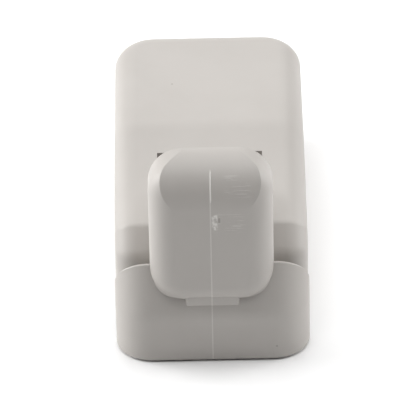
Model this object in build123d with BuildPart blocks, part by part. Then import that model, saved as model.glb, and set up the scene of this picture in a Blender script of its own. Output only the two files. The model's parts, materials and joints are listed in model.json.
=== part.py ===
"""Stair gate latch: a moulded housing with a sprung thumb slide that draws the latch nose back.

Frame: +X to the right, +Y to the back (the way the slide is pushed), +Z up, millimetres.
The origin is at the centre of the footprint, on the underside of the base.
"""
from build123d import *
import os

os.makedirs("parts", exist_ok=True)

# ---------------------------------------------------------------- driving dimensions
WIDTH = 40.0  # housing and latch nose are equally wide
LENGTH = 84.3  # nose front to housing back
FRONT = -LENGTH / 2  # plane that the thumb pad and the nose front lie in
TRAVEL = 5.0  # how far the slide is pushed back to open the gate
FIT = 0.05  # radial clearance of a running fit
GAP = 0.3  # clearance between faces that slide past each other

# housing outline, as depth behind FRONT and height
TOP_Z = 26.7
RIDGE_Y = FRONT + 48.0
CREASE_Y = FRONT + 20.0
CREASE_Z = 20.8
WALL_Y = FRONT + 15.2  # front wall of the housing
WALL_TOP_Z = 16.0
BACK_Y = FRONT + LENGTH
WALL = 2.4
EDGE_R = 4.5
BACK_CORNER_R = 8.5
RIDGE_R = 14.0
CREASE_R = 2.0
FOOT_R = 3.5

# slot in the housing for the stem of the slide
SLOT_WIDTH = 22.0
SLOT_END_Y = FRONT + 39.9
SLOT_FLOOR_Z = 5.0

# latch nose
NOSE_UNDER_Z = 0.25
NOSE_BEND_Z = 11.2
NOSE_TOP_Z = 21.5
NOSE_LEAN = 4.5
NOSE_RIM = 0.5
NOSE_DEPTH = 8.4
NOSE_SHOULDER_Z = 15.0
NOSE_CORNER_R = 7.5
NOSE_TOP_CORNER_R = 7.0
NOSE_UNDER_R = 0.7
NOSE_BEND_R = 6.0
NOSE_RIM_R = 0.3

# thumb pad and what carries it
PAD_WIDTH = 25.3
PAD_UNDER_Z = 13.6
PAD_TOP_Z = 46.8
PAD_TOP_DEPTH = 9.6
PAD_FOOT_DEPTH = 5.6
PAD_CORNER_R = 7.2
PAD_EDGE_R = 5.0
PAD_TOP_R = 8.8
SHANK_WIDTH = 24.7
SHANK_INSET = 1.6
SHANK_UNDER_Z = 12.6
SHANK_CORNER_R = 6.0
SHANK_EDGE_R = 3.2
NECK_WIDTH = 11.1
NECK_INSET = 0.9
NECK_UNDER_Z = 13.2
NECK_EDGE_R = 0.7
STEM_WIDTH = 20.8
STEM_UNDER_Z = 8.0
STEM_TOP_Z = 19.6
STEM_END_Y = FRONT + 31.5
SHANK_TOP_Z = 34.0
HOOD_TOP_Z = 44.0
HOOD_END_Z = 22.0
HOOD_R = 2.0

# carriage inside the housing
BASE_THICK = 3.0
ROD_R = 2.0
ROD_X = 13.8
ROD_Z = 10.0
BLOCK_FRONT_Y = FRONT + 23.0
BLOCK_END_Y = FRONT + 36.0
BLOCK_HALF_WIDTH = 17.2
BLOCK_UNDER_Z = 4.5
BLOCK_TOP_Z = 14.0
BUSH_R = 2.8
BUSH_FLANGE_R = 3.4
BUSH_FLANGE = 1.0
POST_FRONT_Y = FRONT + 19.1
POST_THICK = 2.5
REAR_POST_Y = FRONT + 62.0
REAR_POST_THICK = 4.0
POST_INNER_X = 10.9
POST_TOP_Z = 13.2
BUFFER_R = 3.2
BUFFER_PLAY = 0.1
SEAT_R = 3.4
SEAT_THICK = 1.2
WIRE_R = 0.35
SPRING_R = 2.8
SPRING_PITCH = 2.3
CLIP_R = 3.4
CLIP_THICK = 0.8
CLIP_MOUTH = 3.0

# fasteners: radius of shank, radius and height of head
CASE_SCREW = (1.5, 2.75, 1.6)
SLIDE_SCREW = (1.5, 2.75, 1.8)
PLATE_SCREW = (1.1, 2.0, 1.0)
CASE_SCREW_PLACES = [(0.0, FRONT + 52.0), (-12.0, FRONT + 74.0), (12.0, FRONT + 74.0)]
CASE_SCREW_LENGTH = 12.0
BOSS_R = 3.6
SLIDE_SCREW_PLACES = [(-5.5, FRONT + 26.5), (5.5, FRONT + 26.5)]
SLIDE_SCREW_LENGTH = 9.0
NOSE_PLATE_HALF_WIDTH = 16.0
NOSE_PLATE_UNDER_Z = 1.6
NOSE_PLATE_TOP_Z = 7.4
NOSE_PLATE_THICK = 1.2
PLATE_SCREW_X = 12.0
PLATE_SCREW_LENGTH = 4.6
INSERT_R = 3.0
INSERT_BORE_R = 2.0
INSERT_LENGTH = 8.0
INSERT_BOSS_R = 4.6
INSERT_PLACES = [(0.0, FRONT + 61.0), (0.0, FRONT + 76.5)]
DRIVE_R = 0.9
DRIVE_DEPTH = 1.0

SIDES = {"left": -1, "right": 1}
PLACE_TOLERANCE = 0.05


# ---------------------------------------------------------------- shared shapes
def edges_at(part, y, z):
    """The edges along X whose middle is at this height and depth."""
    return (
        part.edges()
        .filter_by(Axis.X)
        .filter_by(lambda e: abs(e.center().Y - y) < PLACE_TOLERANCE)
        .filter_by(lambda e: abs(e.center().Z - z) < PLACE_TOLERANCE)
    )


def housing_block(inset, under_z):
    """The housing's outer form, drawn in by inset on every side but the underside."""
    with BuildPart() as block:
        with BuildSketch(Plane.YZ):
            with BuildLine():
                Polyline(
                    (WALL_Y, under_z - inset),
                    (WALL_Y, WALL_TOP_Z),
                    (CREASE_Y, CREASE_Z),
                    (RIDGE_Y, TOP_Z),
                    (BACK_Y, TOP_Z),
                    (BACK_Y, under_z - inset),
                    close=True,
                )
            make_face()
            if inset:
                offset(amount=-inset, kind=Kind.INTERSECTION, mode=Mode.REPLACE)
        extrude(amount=WIDTH / 2 - inset, both=True)
        if not inset:
            fillet(edges_at(block, WALL_Y, WALL_TOP_Z), FOOT_R)
        back_corners = block.edges().filter_by(Axis.Z).group_by(Axis.Y)[-1]
        fillet(back_corners, BACK_CORNER_R - inset)
        upper = block.faces().sort_by(Axis.X)[0].edges() + block.faces().sort_by(Axis.X)[-1].edges()
        rims = upper.filter_by(lambda e: e.center().Z > (WALL_TOP_Z + CREASE_Z) / 2 - inset - WALL)
        back_rim = block.edges().filter_by(lambda e: e.center().Y > BACK_Y - BACK_CORNER_R)
        back_rim = back_rim.filter_by(lambda e: e.bounding_box().min.Z > TOP_Z - inset - PLACE_TOLERANCE)
        fillet(rims + back_rim, EDGE_R - inset)
        if not inset:
            ridge = block.edges().filter_by(lambda e: abs(e.center().Y - RIDGE_Y) < PLACE_TOLERANCE)
            fillet(ridge, RIDGE_R)
            crease = block.edges().filter_by(lambda e: abs(e.center().Y - CREASE_Y) < PLACE_TOLERANCE)
            fillet(crease, CREASE_R)
    return block.part


def screw(place, direction, length, sizes):
    """A pan-head screw: place is the middle of the head's outer face, direction runs to the tip."""
    shank_r, head_r, head_height = sizes
    with BuildPart() as body:
        with BuildSketch(Plane(place, z_dir=direction)):
            Circle(head_r)
        extrude(amount=head_height)
        with BuildSketch(Plane(place, z_dir=direction)):
            Circle(shank_r)
        extrude(amount=head_height + length)
        with BuildSketch(Plane(place, z_dir=direction)):
            RegularPolygon(DRIVE_R, 6)
        extrude(amount=DRIVE_DEPTH, mode=Mode.SUBTRACT)
    return body.part


def finish(builder, name):
    """Labels a finished piece and writes it to its own file."""
    builder.part.label = name
    export_step(builder.part, f"parts/{name}.step")


# ---------------------------------------------------------------- housing cover
outer = housing_block(0, 0)
cavity = housing_block(WALL, -WALL)
with BuildPart() as housing_cover:
    add(outer)
    add(cavity, mode=Mode.SUBTRACT)
    with BuildSketch(Plane.XY.offset(BASE_THICK)):
        with Locations(*CASE_SCREW_PLACES):
            Circle(BOSS_R)
    extrude(amount=TOP_Z - WALL / 2 - BASE_THICK)
    with BuildSketch(Plane.XY.offset(BASE_THICK)):
        with Locations(*CASE_SCREW_PLACES):
            Circle(CASE_SCREW[0])
    extrude(amount=CASE_SCREW_LENGTH, mode=Mode.SUBTRACT)
    with BuildSketch(Plane.XY.offset(SLOT_FLOOR_Z)):
        with Locations((0, (WALL_Y + SLOT_END_Y) / 2 - WALL)):
            Rectangle(SLOT_WIDTH, SLOT_END_Y - WALL_Y + 2 * WALL)
    extrude(amount=TOP_Z, mode=Mode.SUBTRACT)
finish(housing_cover, "housing_cover")

# ---------------------------------------------------------------- base plate
plate_inset = WALL + GAP / 3
plate_front_y = WALL_Y + plate_inset
plate_end_y = BACK_Y - plate_inset
case_bore_r = CASE_SCREW[0] + 2 * FIT
with BuildPart() as base_plate:
    with BuildSketch():
        with Locations((0, (plate_front_y + plate_end_y) / 2)):
            Rectangle(WIDTH - 2 * plate_inset, plate_end_y - plate_front_y)
        fillet(vertices().group_by(Axis.Y)[-1], BACK_CORNER_R - plate_inset)
    extrude(amount=BASE_THICK)
    with BuildSketch(Plane.XY.offset(BASE_THICK)):
        with Locations(*INSERT_PLACES):
            Circle(INSERT_BOSS_R)
    extrude(amount=INSERT_LENGTH - BASE_THICK + WALL / 2)
    for side in SIDES.values():
        post_x = side * (POST_INNER_X + BLOCK_HALF_WIDTH) / 2
        post_width = BLOCK_HALF_WIDTH - POST_INNER_X
        for post_y, post_thick in ((POST_FRONT_Y, POST_THICK), (REAR_POST_Y, REAR_POST_THICK)):
            with BuildSketch(Plane.XY.offset(BASE_THICK)):
                with Locations((post_x, post_y + post_thick / 2)):
                    Rectangle(post_width, post_thick)
            extrude(amount=POST_TOP_Z - BASE_THICK)
        with BuildSketch(Plane.XZ.offset(-POST_FRONT_Y)):
            with Locations((side * ROD_X, ROD_Z)):
                Circle(ROD_R + FIT)
        extrude(amount=-LENGTH, mode=Mode.SUBTRACT)
    with BuildSketch():
        with Locations(*INSERT_PLACES):
            Circle(INSERT_R)
    extrude(amount=INSERT_LENGTH, mode=Mode.SUBTRACT)
    with Locations(*[Location((x, y, 0), (180, 0, 0)) for x, y in CASE_SCREW_PLACES]):
        CounterBoreHole(case_bore_r, CASE_SCREW[1] + 2 * FIT, CASE_SCREW[2] + FIT, BASE_THICK)
finish(base_plate, "base_plate")

# ---------------------------------------------------------------- thumb slide: nose, pad and stem
nose_back_y = FRONT + NOSE_DEPTH
nose_lean = (0, NOSE_LEAN, NOSE_TOP_Z - NOSE_BEND_Z)
nose_rise = (0, 0, NOSE_BEND_Z - NOSE_UNDER_Z)
plate_mid_z = (NOSE_PLATE_UNDER_Z + NOSE_PLATE_TOP_Z) / 2
plate_screw_places = [(side * PLATE_SCREW_X, plate_mid_z) for side in SIDES.values()]
with BuildPart() as nose:
    for level, path in ((NOSE_UNDER_Z, nose_rise), (NOSE_BEND_Z, nose_lean)):
        with BuildSketch(Plane.XY.offset(level)):
            with Locations((0, nose_back_y)):
                Rectangle(WIDTH, 2 * NOSE_DEPTH)
            fillet(vertices().group_by(Axis.Y)[0], NOSE_CORNER_R)
        extrude(amount=Vector(path).length, dir=path)
    with BuildSketch(Plane.YZ):
        with BuildLine():
            Polyline(
                (FRONT, NOSE_UNDER_Z),
                (FRONT, NOSE_TOP_Z),
                (FRONT + NOSE_LEAN + NOSE_RIM, NOSE_TOP_Z),
                (nose_back_y, NOSE_SHOULDER_Z),
                (nose_back_y, NOSE_UNDER_Z),
                close=True,
            )
        make_face()
    extrude(amount=WIDTH, both=True, mode=Mode.INTERSECT)
    with BuildSketch(Plane.XZ.offset(-nose_back_y)):
        with Locations((0, NOSE_TOP_Z / 2)):
            Rectangle(WIDTH, NOSE_TOP_Z)
        fillet(vertices().group_by(Axis.Y)[-1], NOSE_TOP_CORNER_R)
    extrude(amount=2 * NOSE_DEPTH, mode=Mode.INTERSECT)
    bend_edges = nose.edges().filter_by(lambda e: abs(e.center().Z - NOSE_BEND_Z) < PLACE_TOLERANCE)
    fillet(bend_edges.filter_by(lambda e: e.center().Y < nose_back_y - PLACE_TOLERANCE), NOSE_BEND_R)
    under_edges = nose.faces().sort_by(Axis.Z)[0].edges()
    fillet(under_edges.filter_by(lambda e: e.center().Y < nose_back_y - PLACE_TOLERANCE), NOSE_UNDER_R)
    top_edges = nose.edges().filter_by(lambda e: e.center().Z > NOSE_TOP_Z - NOSE_RIM_R)
    top_edges = top_edges.filter_by(lambda e: e.center().Y < FRONT + NOSE_LEAN + NOSE_RIM - NOSE_RIM_R / 2)
    fillet(top_edges, NOSE_RIM_R)

with BuildPart() as pad_side_view:
    with BuildSketch(Plane.YZ):
        with BuildLine():
            Polyline(
                (FRONT, PAD_UNDER_Z),
                (FRONT, PAD_TOP_Z),
                (FRONT + PAD_TOP_DEPTH, PAD_TOP_Z),
                (FRONT + PAD_FOOT_DEPTH, PAD_UNDER_Z),
                close=True,
            )
        make_face()
    extrude(amount=PAD_WIDTH, both=True)
    fillet(edges_at(pad_side_view, FRONT, PAD_TOP_Z), PAD_TOP_R)

with BuildPart() as thumb_pad:
    with BuildSketch(Plane.XZ.offset(-FRONT)):
        with Locations((0, (PAD_UNDER_Z + PAD_TOP_Z) / 2)):
            Rectangle(PAD_WIDTH, PAD_TOP_Z - PAD_UNDER_Z)
        fillet(vertices(), PAD_CORNER_R)
    extrude(amount=-PAD_TOP_DEPTH)
    fillet(thumb_pad.faces().sort_by(Axis.Y)[0].edges(), PAD_EDGE_R)
    add(pad_side_view.part, mode=Mode.INTERSECT)

with BuildPart() as shank:
    with BuildSketch(Plane.XZ.offset(-FRONT - SHANK_INSET)):
        with Locations((0, (SHANK_UNDER_Z + SHANK_TOP_Z) / 2)):
            Rectangle(SHANK_WIDTH, SHANK_TOP_Z - SHANK_UNDER_Z)
        fillet(vertices().group_by(Axis.Y)[0], SHANK_CORNER_R)
    extrude(amount=SHANK_INSET - PAD_FOOT_DEPTH)
    shank_front = shank.faces().sort_by(Axis.Y)[0]
    shank_rim = shank_front.edges().filter_by(lambda e: e.center().Z < SHANK_TOP_Z - PLACE_TOLERANCE)
    fillet(shank_rim, SHANK_EDGE_R)

with BuildPart() as neck:
    with BuildSketch(Plane.XZ.offset(-FRONT - NECK_INSET)):
        with Locations((0, (NECK_UNDER_Z + PAD_UNDER_Z + PAD_EDGE_R) / 2)):
            Rectangle(NECK_WIDTH, PAD_UNDER_Z + PAD_EDGE_R - NECK_UNDER_Z)
    extrude(amount=NECK_INSET - PAD_FOOT_DEPTH)
    neck_rim = neck.faces().sort_by(Axis.Y)[0].edges().sort_by(Axis.Z)[:-1]
    fillet(neck_rim, NECK_EDGE_R)

with BuildPart() as hood:
    with BuildSketch(Plane.YZ):
        with BuildLine():
            Polyline(
                (FRONT + PAD_FOOT_DEPTH, STEM_TOP_Z),
                (FRONT + PAD_FOOT_DEPTH, HOOD_TOP_Z),
                (FRONT + PAD_TOP_DEPTH, HOOD_TOP_Z),
                (STEM_END_Y, HOOD_END_Z),
                (STEM_END_Y, STEM_TOP_Z),
                close=True,
            )
        make_face()
    extrude(amount=STEM_WIDTH / 2, both=True)
    hood_back = hood.faces().filter_by(lambda f: f.normal_at().Y > PLACE_TOLERANCE)
    hood_slope = hood_back.sort_by(SortBy.AREA)[-1]
    fillet(hood_slope.edges().filter_by(Axis.X, reverse=True), HOOD_R)

with BuildPart() as thumb_slide:
    for piece in (nose, thumb_pad, shank, neck, hood):
        add(piece.part)
    with BuildSketch(Plane.YZ):
        with BuildLine():
            Polyline(
                (FRONT + NOSE_LEAN, STEM_UNDER_Z),
                (FRONT + NOSE_LEAN, STEM_TOP_Z),
                (STEM_END_Y, STEM_TOP_Z),
                (STEM_END_Y, STEM_UNDER_Z),
                close=True,
            )
        make_face()
    extrude(amount=STEM_WIDTH / 2, both=True)
    with BuildSketch(Plane.XZ.offset(-nose_back_y)):
        with Locations((0, plate_mid_z)):
            Rectangle(2 * NOSE_PLATE_HALF_WIDTH + FIT, NOSE_PLATE_TOP_Z - NOSE_PLATE_UNDER_Z + FIT)
    extrude(amount=NOSE_PLATE_THICK, mode=Mode.SUBTRACT)
    with BuildSketch(Plane.XZ.offset(-nose_back_y)):
        with Locations(*plate_screw_places):
            Circle(PLATE_SCREW[0])
    extrude(amount=NOSE_PLATE_THICK + PLATE_SCREW_LENGTH, mode=Mode.SUBTRACT)
    with BuildSketch(Plane.XY.offset(STEM_UNDER_Z)):
        with Locations(*SLIDE_SCREW_PLACES):
            Circle(SLIDE_SCREW[0])
    extrude(amount=SLIDE_SCREW_LENGTH, mode=Mode.SUBTRACT)
finish(thumb_slide, "thumb_slide")

# ---------------------------------------------------------------- steel plate behind the latch nose
with BuildPart() as nose_plate:
    with BuildSketch(Plane.XZ.offset(-nose_back_y)):
        with Locations((0, plate_mid_z)):
            Rectangle(2 * NOSE_PLATE_HALF_WIDTH, NOSE_PLATE_TOP_Z - NOSE_PLATE_UNDER_Z)
        fillet(vertices(), NOSE_PLATE_THICK)
    extrude(amount=NOSE_PLATE_THICK)
    with BuildSketch(Plane.XZ.offset(-nose_back_y)):
        with Locations(*plate_screw_places):
            Circle(PLATE_SCREW[1] + FIT)
    extrude(amount=PLATE_SCREW[2], mode=Mode.SUBTRACT)
    with BuildSketch(Plane.XZ.offset(-nose_back_y)):
        with Locations(*plate_screw_places):
            Circle(PLATE_SCREW[0] + FIT)
    extrude(amount=NOSE_PLATE_THICK, mode=Mode.SUBTRACT)
finish(nose_plate, "nose_plate")

with BuildPart() as nose_plate_screws:
    for screw_x, screw_z in plate_screw_places:
        add(screw((screw_x, nose_back_y, screw_z), (0, -1, 0), PLATE_SCREW_LENGTH - FIT, PLATE_SCREW))
finish(nose_plate_screws, "nose_plate_screws")

# ---------------------------------------------------------------- slide block under the stem
with BuildPart() as slide_block:
    with BuildSketch(Plane.XY.offset(BLOCK_UNDER_Z)):
        with Locations((0, (BLOCK_FRONT_Y + BLOCK_END_Y) / 2)):
            Rectangle(2 * BLOCK_HALF_WIDTH, BLOCK_END_Y - BLOCK_FRONT_Y)
        fillet(vertices(), WALL / 2)
    extrude(amount=BLOCK_TOP_Z - BLOCK_UNDER_Z)
    with BuildSketch(Plane.XY.offset(STEM_UNDER_Z)):
        with Locations((0, (BLOCK_FRONT_Y + BLOCK_END_Y) / 2)):
            Rectangle(STEM_WIDTH + 2 * FIT, LENGTH)
    extrude(amount=BLOCK_TOP_Z, mode=Mode.SUBTRACT)
    with BuildSketch(Plane.XZ.offset(-BLOCK_FRONT_Y)):
        with Locations(*[(side * ROD_X, ROD_Z) for side in SIDES.values()]):
            Circle(BUSH_R)
    extrude(amount=-LENGTH, mode=Mode.SUBTRACT)
    with Locations(*[Location((x, y, BLOCK_UNDER_Z), (180, 0, 0)) for x, y in SLIDE_SCREW_PLACES]):
        CounterBoreHole(SLIDE_SCREW[0] + FIT, SLIDE_SCREW[1] + FIT, SLIDE_SCREW[2], BLOCK_TOP_Z)
finish(slide_block, "slide_block")

screw_reach = STEM_UNDER_Z - BLOCK_UNDER_Z - SLIDE_SCREW[2] + SLIDE_SCREW_LENGTH - FIT
with BuildPart() as slide_screws:
    for screw_x, screw_y in SLIDE_SCREW_PLACES:
        add(screw((screw_x, screw_y, BLOCK_UNDER_Z), (0, 0, 1), screw_reach, SLIDE_SCREW))
finish(slide_screws, "slide_screws")

# ---------------------------------------------------------------- guide rods and what sits on them
clip_y = REAR_POST_Y + REAR_POST_THICK
rod_end_y = clip_y + 2 * CLIP_THICK
spring_start_y = BLOCK_END_Y + BUSH_FLANGE
spring_end_y = REAR_POST_Y - SEAT_THICK
spring_length = spring_end_y - spring_start_y - 2 * WIRE_R


def on_rod(side, y):
    """A plane across the guide rod at y, facing the back."""
    return Plane((side * ROD_X, y, ROD_Z), x_dir=(1, 0, 0), z_dir=(0, 1, 0))


for side_name, side in SIDES.items():
    with BuildPart() as guide_rod:
        with BuildSketch(on_rod(side, POST_FRONT_Y)):
            Circle(ROD_R)
        extrude(amount=rod_end_y - POST_FRONT_Y)
        with BuildSketch(on_rod(side, clip_y)):
            Circle(ROD_R)
            Circle(CLIP_MOUTH / 2, mode=Mode.SUBTRACT)
        extrude(amount=CLIP_THICK, mode=Mode.SUBTRACT)
        rod_ends = guide_rod.edges().group_by(Axis.Y)
        chamfer(rod_ends[0] + rod_ends[-1], WIRE_R)
    finish(guide_rod, f"guide_rod_{side_name}")

    with BuildPart() as slide_bush:
        with BuildSketch(on_rod(side, BLOCK_FRONT_Y)):
            Circle(BUSH_R)
        extrude(amount=BLOCK_END_Y - BLOCK_FRONT_Y)
        with BuildSketch(on_rod(side, BLOCK_END_Y)):
            Circle(BUSH_FLANGE_R)
        extrude(amount=BUSH_FLANGE)
        with BuildSketch(on_rod(side, BLOCK_FRONT_Y)):
            Circle(ROD_R + FIT)
        extrude(amount=LENGTH, mode=Mode.SUBTRACT)
    finish(slide_bush, f"slide_bush_{side_name}")

    with BuildPart() as stop_buffer:
        with BuildSketch(on_rod(side, POST_FRONT_Y + POST_THICK)):
            Circle(BUFFER_R)
            Circle(ROD_R + FIT, mode=Mode.SUBTRACT)
        extrude(amount=BLOCK_FRONT_Y - BUFFER_PLAY - POST_FRONT_Y - POST_THICK)
    finish(stop_buffer, f"stop_buffer_{side_name}")

    with BuildPart() as spring_seat:
        with BuildSketch(on_rod(side, REAR_POST_Y - SEAT_THICK)):
            Circle(SEAT_R)
            Circle(ROD_R + FIT, mode=Mode.SUBTRACT)
        extrude(amount=SEAT_THICK)
    finish(spring_seat, f"spring_seat_{side_name}")

    with BuildPart() as return_spring:
        with BuildLine() as coil:
            Helix(
                SPRING_PITCH,
                spring_length,
                SPRING_R,
                center=(side * ROD_X, spring_start_y + WIRE_R, ROD_Z),
                direction=(0, 1, 0),
            )
        with BuildSketch(Plane(coil.line @ 0, z_dir=coil.line % 0)):
            Circle(WIRE_R)
        sweep(is_frenet=True)
    finish(return_spring, f"return_spring_{side_name}")

with BuildPart() as rod_clips:
    for side in SIDES.values():
        with BuildSketch(on_rod(side, clip_y)):
            Circle(CLIP_R)
            Circle(CLIP_MOUTH / 2, mode=Mode.SUBTRACT)
            with Locations((0, CLIP_R)):
                Rectangle(CLIP_MOUTH, 2 * CLIP_R, mode=Mode.SUBTRACT)
        extrude(amount=CLIP_THICK)
finish(rod_clips, "rod_clips")

# ---------------------------------------------------------------- end stop, inserts and case screws
stop_y = BLOCK_END_Y + TRAVEL + BUFFER_PLAY
with BuildPart() as rear_buffer:
    with BuildSketch(Plane.XY.offset(BASE_THICK)):
        with Locations((0, stop_y + BUFFER_R / 2)):
            Rectangle(NECK_WIDTH, BUFFER_R)
        fillet(vertices(), WIRE_R)
    extrude(amount=STEM_UNDER_Z - BASE_THICK)
finish(rear_buffer, "rear_buffer")

with BuildPart() as fixing_inserts:
    with BuildSketch():
        with Locations(*INSERT_PLACES):
            Circle(INSERT_R)
            Circle(INSERT_BORE_R, mode=Mode.SUBTRACT)
    extrude(amount=INSERT_LENGTH)
finish(fixing_inserts, "fixing_inserts")

case_reach = BASE_THICK - CASE_SCREW[2] + CASE_SCREW_LENGTH - 2 * FIT
with BuildPart() as case_screws:
    for screw_x, screw_y in CASE_SCREW_PLACES:
        add(screw((screw_x, screw_y, FIT), (0, 0, 1), case_reach, CASE_SCREW))
finish(case_screws, "case_screws")
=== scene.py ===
"""Looks of the stair gate latch: satin moulded plastic, the mould's marks, light, floor and camera.

Lengths are in metres.
"""
import json
import math

import bmesh
import bpy
from mathutils import Matrix, Vector


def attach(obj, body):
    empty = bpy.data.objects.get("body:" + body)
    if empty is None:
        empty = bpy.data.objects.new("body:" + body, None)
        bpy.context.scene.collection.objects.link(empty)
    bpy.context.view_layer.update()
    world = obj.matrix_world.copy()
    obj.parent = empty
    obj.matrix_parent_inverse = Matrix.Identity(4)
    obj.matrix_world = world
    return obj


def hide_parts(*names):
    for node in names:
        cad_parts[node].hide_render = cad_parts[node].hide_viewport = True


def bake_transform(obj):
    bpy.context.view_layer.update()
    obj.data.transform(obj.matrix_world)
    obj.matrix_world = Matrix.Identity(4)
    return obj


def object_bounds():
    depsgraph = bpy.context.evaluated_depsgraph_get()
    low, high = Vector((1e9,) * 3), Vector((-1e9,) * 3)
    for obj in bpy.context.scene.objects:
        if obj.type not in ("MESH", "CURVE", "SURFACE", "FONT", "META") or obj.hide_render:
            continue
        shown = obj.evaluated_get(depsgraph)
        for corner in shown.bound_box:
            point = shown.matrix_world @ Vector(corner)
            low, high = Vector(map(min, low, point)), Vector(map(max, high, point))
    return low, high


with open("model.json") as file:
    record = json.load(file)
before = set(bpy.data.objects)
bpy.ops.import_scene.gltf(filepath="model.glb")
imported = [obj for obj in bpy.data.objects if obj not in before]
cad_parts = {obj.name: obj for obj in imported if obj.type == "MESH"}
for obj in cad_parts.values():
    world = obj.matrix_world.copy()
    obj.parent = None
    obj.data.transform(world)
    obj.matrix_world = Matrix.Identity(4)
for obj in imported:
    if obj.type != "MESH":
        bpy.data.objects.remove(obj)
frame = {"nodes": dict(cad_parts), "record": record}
CAD_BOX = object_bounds()
NODES = frame["nodes"]
MM = 0.001
LOW, HIGH = CAD_BOX
FRONT_Y = LOW.y

# ---------------------------------------------------------------- camera
CAMERA_ELEVATION = math.radians(35.0)
CAMERA_DISTANCE = 0.98
CAMERA_ROLL = math.radians(1.15)
NOSE_SHARE = 0.46731  # of the view's width
AXIS_HEIGHT = 31.6 * MM  # how far the view's centre lies above the nose's lower edge, across the view
AXIS_SHIFT = -0.55 * MM
SENSOR_WIDTH = 36.0

# ---------------------------------------------------------------- light and floor
# a softbox's direction from the latch, distance, side and power in watts
SOFTBOXES = {
    "overhead_softbox": ((0.0, 0.0, 1.0), 1.2, 1.2, 13.8),
    "left_softbox": ((-1.0, 0.25, 0.35), 1.0, 0.6, 9.8),
    "right_softbox": ((1.0, 0.25, 0.35), 1.0, 0.6, 5.9),
    "back_softbox": ((0.0, 1.0, 0.6), 1.2, 1.0, 3.8),
}
AMBIENT = 0.05
FLOOR_HALF = 1.5
FLOOR_CORNERS = [(-1, -1), (1, -1), (1, 1), (-1, 1)]
FLOOR_WHITE = 0.95
FLOOR_ROUGHNESS = 0.9

# ---------------------------------------------------------------- finishes
GREY = ((0.452, 0.428, 0.403), (0.470, 0.446, 0.421))  # the darkest and lightest of its mottling
PALE = (0.74, 0.72, 0.69)
# colour of the specks, and of the painted shade in the nick beside the scar
DARK = (0.16, 0.14, 0.12)
BLACK, WHITE = (0, 0, 0), (1, 1, 1)
SATIN = 0.48  # roughness
SHEEN_LEVEL = 0.38  # specular level
# the other slots' dark and light colours and roughness, and the stretch of drawn lines
PLASTICS = {
    "base_plastic": ((0.50, 0.48, 0.455), (0.535, 0.515, 0.49), 0.55),
    "acetal": ((0.78, 0.78, 0.76), (0.84, 0.84, 0.82), 0.35),
    "buffer_rubber": ((0.02, 0.02, 0.02), (0.045, 0.045, 0.045), 0.75),
}
METALS = {
    "steel": ((0.55, 0.55, 0.56), (0.68, 0.68, 0.69), 0.32, (1, 0.05, 1)),
    "spring_steel": ((0.35, 0.35, 0.37), (0.5, 0.5, 0.52), 0.3),
    "zinc_screw": ((0.62, 0.63, 0.65), (0.76, 0.77, 0.79), 0.28),
    "brass_insert": ((0.68, 0.50, 0.22), (0.82, 0.64, 0.34), 0.3),
}
PLASTIC_UNEVEN = 0.06  # how far the roughness strays each way
METAL_SMOOTHER, METAL_ROUGHER = 0.08, 0.1

# ---------------------------------------------------------------- marks on the slide's front
# a mark's middle and half size across, then its middle and half size upwards
LINE = ((-0.1 * MM, 0.07 * MM), (23.5 * MM, 23.0 * MM))
LINE_EDGE = 0.12 * MM
LINE_WEIGHT = 0.4
SCAR = ((0.75 * MM, 0.4 * MM), (34.9 * MM, 1.7 * MM))
SCAR_EDGE = 0.35 * MM
SCAR_WEIGHT = 0.85
# painted shade: a small dark tint where a nick beside the scar would hold shade; the nick itself has no
# relief
NICK_SHADE = ((1.65 * MM, 0.12 * MM), (35.4 * MM, 0.5 * MM))
NICK_SHADE_EDGE = 0.15 * MM
NICK_SHADE_WEIGHT = 0.45
SCUFFS = [  # each with its weight
    ((3.9 * MM, 2.2 * MM), (34.8 * MM, 1.4 * MM), 0.4),
    ((5.4 * MM, 1.8 * MM), (42.5 * MM, 1.3 * MM), 0.25),
]
SCUFF_EDGE = 1.4 * MM
FRONT_REACH = 2.5 * MM  # how far behind the front plane a mark is still at its full strength
FRONT_EDGE = 1.0 * MM
SPECK_R = 0.13 * MM
SPECK_WEIGHT = 0.45
TOP_SPECKS = [(-7.7 * MM, 21.2 * MM, 26.7 * MM)]
FRONT_SPECKS = [(13.05 * MM, FRONT_Y, 3.65 * MM)]

# ---------------------------------------------------------------- bead of the parting line over the pad
PAD_ROUND_R = 8.8 * MM
BEAD_START = math.radians(10)  # above the horizontal
BEAD_END = math.radians(56)
BEAD_STEPS = 40
BEAD_HALF = 0.13 * MM
BEAD_HEIGHT = 0.05 * MM
BEAD_SUNK = 0.1 * MM
BEAD_FADE = 6.0  # each end rises over a sixth of the bead's length
BEAD_SECTION = [(-1.0, 0.0), (-0.8, 0.75), (0.0, 1.0), (0.8, 0.75), (1.0, 0.0)]


def make_camera():
    """A long lens in front of the latch, looking down at it."""
    right = Vector((1, 0, 0))
    up = Vector((0, math.sin(CAMERA_ELEVATION), math.cos(CAMERA_ELEVATION)))
    ahead = Vector((0, math.cos(CAMERA_ELEVATION), -math.sin(CAMERA_ELEVATION)))
    aim = Vector((0, FRONT_Y, 0)) + AXIS_HEIGHT * up + AXIS_SHIFT * right
    data = bpy.data.cameras.new("camera")
    data.sensor_width = SENSOR_WIDTH
    data.lens = SENSOR_WIDTH * NOSE_SHARE * CAMERA_DISTANCE / (HIGH.x - LOW.x)
    camera = bpy.data.objects.new("camera", data)
    bpy.context.scene.collection.objects.link(camera)
    camera.location = aim - ahead * CAMERA_DISTANCE
    camera.rotation_mode = "QUATERNION"
    roll_up = math.cos(CAMERA_ROLL) * up + math.sin(CAMERA_ROLL) * right
    side = ahead.cross(roll_up)
    camera.rotation_quaternion = Matrix((side, roll_up, -ahead)).transposed().to_quaternion()
    bpy.context.scene.camera = camera


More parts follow.
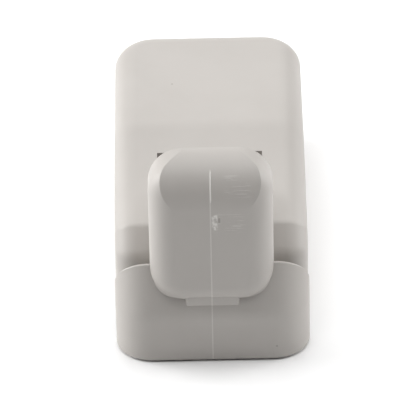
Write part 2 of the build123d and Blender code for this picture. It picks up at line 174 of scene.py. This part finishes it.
# ---------------------------------------------------------------- light and floor
def area_light(name, direction, distance, size, power):
    """A square softbox that points at the latch; direction runs from the latch to the light."""
    data = bpy.data.lights.new(name, "AREA")
    data.shape = "SQUARE"
    data.size = size
    data.energy = power
    light = bpy.data.objects.new(name, data)
    bpy.context.scene.collection.objects.link(light)
    towards = Vector(direction).normalized()
    light.location = Vector((0, 0, HIGH.z / 2)) + towards * distance
    light.rotation_mode = "QUATERNION"
    light.rotation_quaternion = towards.to_track_quat("Z", "Y")


def make_lights():
    """The softboxes and a faint even light from all round."""
    for name, (direction, distance, size, power) in SOFTBOXES.items():
        area_light(name, direction, distance, size, power)
    world = bpy.data.worlds.new("studio")
    world.use_nodes = True
    background = world.node_tree.nodes["Background"]
    background.inputs["Color"].default_value = (1.0, 1.0, 1.0, 1.0)
    background.inputs["Strength"].default_value = AMBIENT
    bpy.context.scene.world = world
    bpy.context.scene.view_settings.view_transform = "Standard"


def make_floor():
    """A plain pale sweep that the latch stands on."""
    mesh = bpy.data.meshes.new("floor")
    corners = [(across * FLOOR_HALF, deep * FLOOR_HALF, 0) for across, deep in FLOOR_CORNERS]
    mesh.from_pydata(corners, [], [(0, 1, 2, 3)])
    floor = bpy.data.objects.new("floor", mesh)
    bpy.context.scene.collection.objects.link(floor)
    material = bpy.data.materials.new("floor_white")
    material.use_nodes = True
    shader = material.node_tree.nodes["Principled BSDF"]
    shader.inputs["Base Color"].default_value = (FLOOR_WHITE, FLOOR_WHITE, FLOOR_WHITE, 1.0)
    shader.inputs["Roughness"].default_value = FLOOR_ROUGHNESS
    mesh.materials.append(material)


# ---------------------------------------------------------------- materials
def new_material(name, roughness, metallic=0.0):
    """An empty node material with its uniform values set on the shader."""
    material = bpy.data.materials.new(name)
    material.use_nodes = True
    shader = material.node_tree.nodes["Principled BSDF"]
    shader.inputs["Roughness"].default_value = roughness
    shader.inputs["Metallic"].default_value = metallic
    shader.inputs["Specular IOR Level"].default_value = SHEEN_LEVEL
    return material, shader


def noise(material, scale, detail, roughness=0.5, stretch=(1, 1, 1)):
    """A noise texture in the object's own coordinates; scale is in features per metre."""
    nodes, links = material.node_tree.nodes, material.node_tree.links
    place = nodes.new("ShaderNodeTexCoord")
    mapping = nodes.new("ShaderNodeMapping")
    mapping.inputs["Scale"].default_value = stretch
    texture = nodes.new("ShaderNodeTexNoise")
    texture.inputs["Scale"].default_value = scale
    texture.inputs["Detail"].default_value = detail
    texture.inputs["Roughness"].default_value = roughness
    links.new(place.outputs["Object"], mapping.inputs["Vector"])
    links.new(mapping.outputs["Vector"], texture.inputs["Vector"])
    return texture.outputs["Fac"]


def ramp(material, source, low, high, start=0.35, end=0.65):
    """Turns a value into a colour between low and high."""
    node = material.node_tree.nodes.new("ShaderNodeValToRGB")
    node.color_ramp.elements[0].position = start
    node.color_ramp.elements[1].position = end
    node.color_ramp.elements[0].color = (*low, 1.0)
    node.color_ramp.elements[1].color = (*high, 1.0)
    material.node_tree.links.new(source, node.inputs["Fac"])
    return node.outputs["Color"]


def spread(material, source, low, high):
    """Maps a 0 to 1 value to the range from low to high."""
    node = material.node_tree.nodes.new("ShaderNodeMapRange")
    node.inputs["To Min"].default_value = low
    node.inputs["To Max"].default_value = high
    material.node_tree.links.new(source, node.inputs["Value"])
    return node.outputs["Result"]


def bump(material, shader, source, depth, strength=1.0, under=None):
    """Adds surface relief of this depth, on top of another relief if there is one."""
    node = material.node_tree.nodes.new("ShaderNodeBump")
    node.inputs["Distance"].default_value = depth
    node.inputs["Strength"].default_value = strength
    material.node_tree.links.new(source, node.inputs["Height"])
    if under:
        material.node_tree.links.new(under, node.inputs["Normal"])
    material.node_tree.links.new(node.outputs["Normal"], shader.inputs["Normal"])
    return node.outputs["Normal"]


def plastic(name, dark, light, roughness):
    """Satin moulded plastic: faint flow mottling, uneven sheen and a fine eroded texture."""
    material, shader = new_material(name, roughness)
    links = material.node_tree.links
    mottle = noise(material, scale=60, detail=4, roughness=0.6, stretch=(1, 1, 0.5))
    links.new(ramp(material, mottle, dark, light), shader.inputs["Base Color"])
    patches = noise(material, scale=240, detail=3)
    uneven = spread(material, patches, roughness - PLASTIC_UNEVEN, roughness + PLASTIC_UNEVEN)
    links.new(uneven, shader.inputs["Roughness"])
    waves = bump(material, shader, noise(material, scale=110, detail=2), depth=0.12 * MM, strength=0.35)
    grain = noise(material, scale=5200, detail=2)
    bump(material, shader, grain, depth=0.01 * MM, strength=0.6, under=waves)
    return material


def axis_value(material, axis):
    """The object's own coordinate along one axis, in metres."""
    nodes, links = material.node_tree.nodes, material.node_tree.links
    place = nodes.new("ShaderNodeTexCoord")
    split = nodes.new("ShaderNodeSeparateXYZ")
    links.new(place.outputs["Object"], split.inputs["Vector"])
    return split.outputs[axis]


def calc(material, operation, first, second):
    """One step of arithmetic on values or numbers."""
    node = material.node_tree.nodes.new("ShaderNodeMath")
    node.operation = operation
    for socket, value in zip(node.inputs, (first, second)):
        if isinstance(value, float):
            socket.default_value = value
        else:
            material.node_tree.links.new(value, socket)
    return node.outputs["Value"]


def within(material, axis, middle, half, edge):
    """1 inside a band across one axis, falling smoothly to 0 over the edge's width."""
    offset = calc(material, "SUBTRACT", axis_value(material, axis), middle)
    distance = calc(material, "ABSOLUTE", offset, 0.0)
    node = material.node_tree.nodes.new("ShaderNodeMapRange")
    node.interpolation_type = "SMOOTHSTEP"
    node.inputs["From Min"].default_value = half + edge
    node.inputs["From Max"].default_value = half
    material.node_tree.links.new(distance, node.inputs["Value"])
    return node.outputs["Result"]


def patch(material, x, z, edge):
    """A soft-edged rectangle on the front, given by its middle and half size across and up."""
    front = within(material, "Y", FRONT_Y, FRONT_REACH, FRONT_EDGE)
    across = within(material, "X", x[0], x[1], edge)
    upright = within(material, "Z", z[0], z[1], edge)
    return calc(material, "MULTIPLY", front, calc(material, "MULTIPLY", across, upright))


def tint(material, shader, mask, colour, weight):
    """Lays a colour over the base colour, with this weight where the mask is 1."""
    share = calc(material, "MULTIPLY", mask, weight)
    mix = material.node_tree.nodes.new("ShaderNodeMix")
    mix.data_type = "RGBA"
    base = shader.inputs["Base Color"].links[0].from_socket
    material.node_tree.links.new(base, mix.inputs[6])
    mix.inputs[7].default_value = (*colour, 1.0)
    material.node_tree.links.new(share, mix.inputs[0])
    material.node_tree.links.new(mix.outputs[2], shader.inputs["Base Color"])


def mould_marks(material, shader):
    """The slide's parting line, torn gate scar with painted shade of a nick beside it, and the scuffs
    of use beside it.
    """
    under = shader.inputs["Normal"].links[0].from_socket
    line = patch(material, *LINE, LINE_EDGE)
    tint(material, shader, line, PALE, LINE_WEIGHT)
    under = bump(material, shader, line, depth=0.03 * MM, strength=0.5, under=under)
    scar = patch(material, *SCAR, SCAR_EDGE)
    crumbs = noise(material, scale=1500, detail=4, roughness=0.7, stretch=(1, 1, 0.6))
    torn = calc(material, "MULTIPLY", scar, ramp(material, crumbs, BLACK, WHITE, start=0.42, end=0.56))
    tint(material, shader, torn, PALE, SCAR_WEIGHT)
    under = bump(material, shader, torn, depth=0.06 * MM, strength=0.6, under=under)
    # painted shade of the nick beside the scar, laid on as a dark tint
    tint(material, shader, patch(material, *NICK_SHADE, NICK_SHADE_EDGE), DARK, NICK_SHADE_WEIGHT)
    for x, z, weight in SCUFFS:
        strokes = noise(material, scale=420, detail=3, roughness=0.6, stretch=(0.7, 1, 8))
        lines = ramp(material, strokes, BLACK, WHITE, start=0.55, end=0.66)
        scuff = calc(material, "MULTIPLY", patch(material, x, z, SCUFF_EDGE), lines)
        tint(material, shader, scuff, PALE, weight)
        under = bump(material, shader, scuff, depth=0.06 * MM, strength=0.6, under=under)


def specks(material, shader, places):
    """A few pin-head dark spots on the surface."""
    for place in places:
        bands = [within(material, axis, middle, SPECK_R, SPECK_R) for axis, middle in zip("XYZ", place)]
        dot = calc(material, "MULTIPLY", calc(material, "MULTIPLY", bands[0], bands[1]), bands[2])
        tint(material, shader, dot, DARK, SPECK_WEIGHT)


def metal(name, dark, light, roughness, grain=(1, 1, 1)):
    """Bare or plated metal with fine drawn or ground lines."""
    material, shader = new_material(name, roughness, metallic=1.0)
    links = material.node_tree.links
    lines = noise(material, scale=1500, detail=4, roughness=0.6, stretch=grain)
    links.new(ramp(material, lines, dark, light), shader.inputs["Base Color"])
    uneven = spread(material, lines, roughness - METAL_SMOOTHER, roughness + METAL_ROUGHER)
    links.new(uneven, shader.inputs["Roughness"])
    bump(material, shader, lines, depth=0.01 * MM, strength=0.5)
    return material


def dress_nodes():
    """Gives every CAD node its material."""
    grey = plastic("grey_plastic", *GREY, SATIN)
    specks(grey, grey.node_tree.nodes["Principled BSDF"], TOP_SPECKS)
    slide = plastic("grey_plastic_slide", *GREY, SATIN)
    slide_shader = slide.node_tree.nodes["Principled BSDF"]
    mould_marks(slide, slide_shader)
    specks(slide, slide_shader, FRONT_SPECKS)
    finishes = {"grey_plastic": grey}
    for slot, values in PLASTICS.items():
        finishes[slot] = plastic(slot, *values)
    for slot, values in METALS.items():
        finishes[slot] = metal(slot, *values)
    for part in frame["record"]["subparts"]:
        node = NODES[part["node"]]
        finish = slide if part["node"] == "thumb_slide" else finishes[part["material_slot"]]
        node.data.materials.clear()
        node.data.materials.append(finish)


def mould_line():
    """The bead that the mould's parting line leaves over the thumb pad's rounded top."""
    mesh = bpy.data.meshes.new("mould_line")
    form = bmesh.new()
    rows = []
    for step in range(BEAD_STEPS + 1):
        share = step / BEAD_STEPS
        angle = BEAD_START + (BEAD_END - BEAD_START) * share
        outward = Vector((0, -math.cos(angle), math.sin(angle)))
        middle = Vector((0, FRONT_Y + PAD_ROUND_R, HIGH.z - PAD_ROUND_R))
        rise = BEAD_HEIGHT * min(1.0, BEAD_FADE * share, BEAD_FADE * (1 - share))
        row = []
        for across, lift in BEAD_SECTION:
            point = middle + outward * (PAD_ROUND_R - BEAD_SUNK + lift * (BEAD_SUNK + rise))
            row.append(form.verts.new(point + Vector((across * BEAD_HALF, 0, 0))))
        rows.append(row)
    for low, high in zip(rows, rows[1:]):
        for side in range(len(low)):
            after = (side + 1) % len(low)
            form.faces.new((low[side], low[after], high[after], high[side]))
    form.faces.new(rows[0])
    form.faces.new(rows[-1])
    bmesh.ops.recalc_face_normals(form, faces=form.faces)
    form.to_mesh(mesh)
    form.free()
    bead = bpy.data.objects.new("mould_line", mesh)
    bpy.context.scene.collection.objects.link(bead)
    for face in mesh.polygons:
        face.use_smooth = True
    mesh.materials.append(plastic("grey_plastic_bead", PALE, PALE, SATIN))
    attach(bead, "slide")


def coils():
    """The return springs between the slide block and their seats, as baked copies standing in for the
    hidden CAD springs.
    """
    for side in ("left", "right"):
        node = NODES[f"return_spring_{side}"]
        mesh = node.data.copy()
        mesh.transform(node.matrix_world)
        coil = bpy.data.objects.new(f"coil_{side}", mesh)
        bpy.context.scene.collection.objects.link(coil)
        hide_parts(f"return_spring_{side}")
        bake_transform(coil)


make_camera()
make_lights()
make_floor()
dress_nodes()
mould_line()
coils()
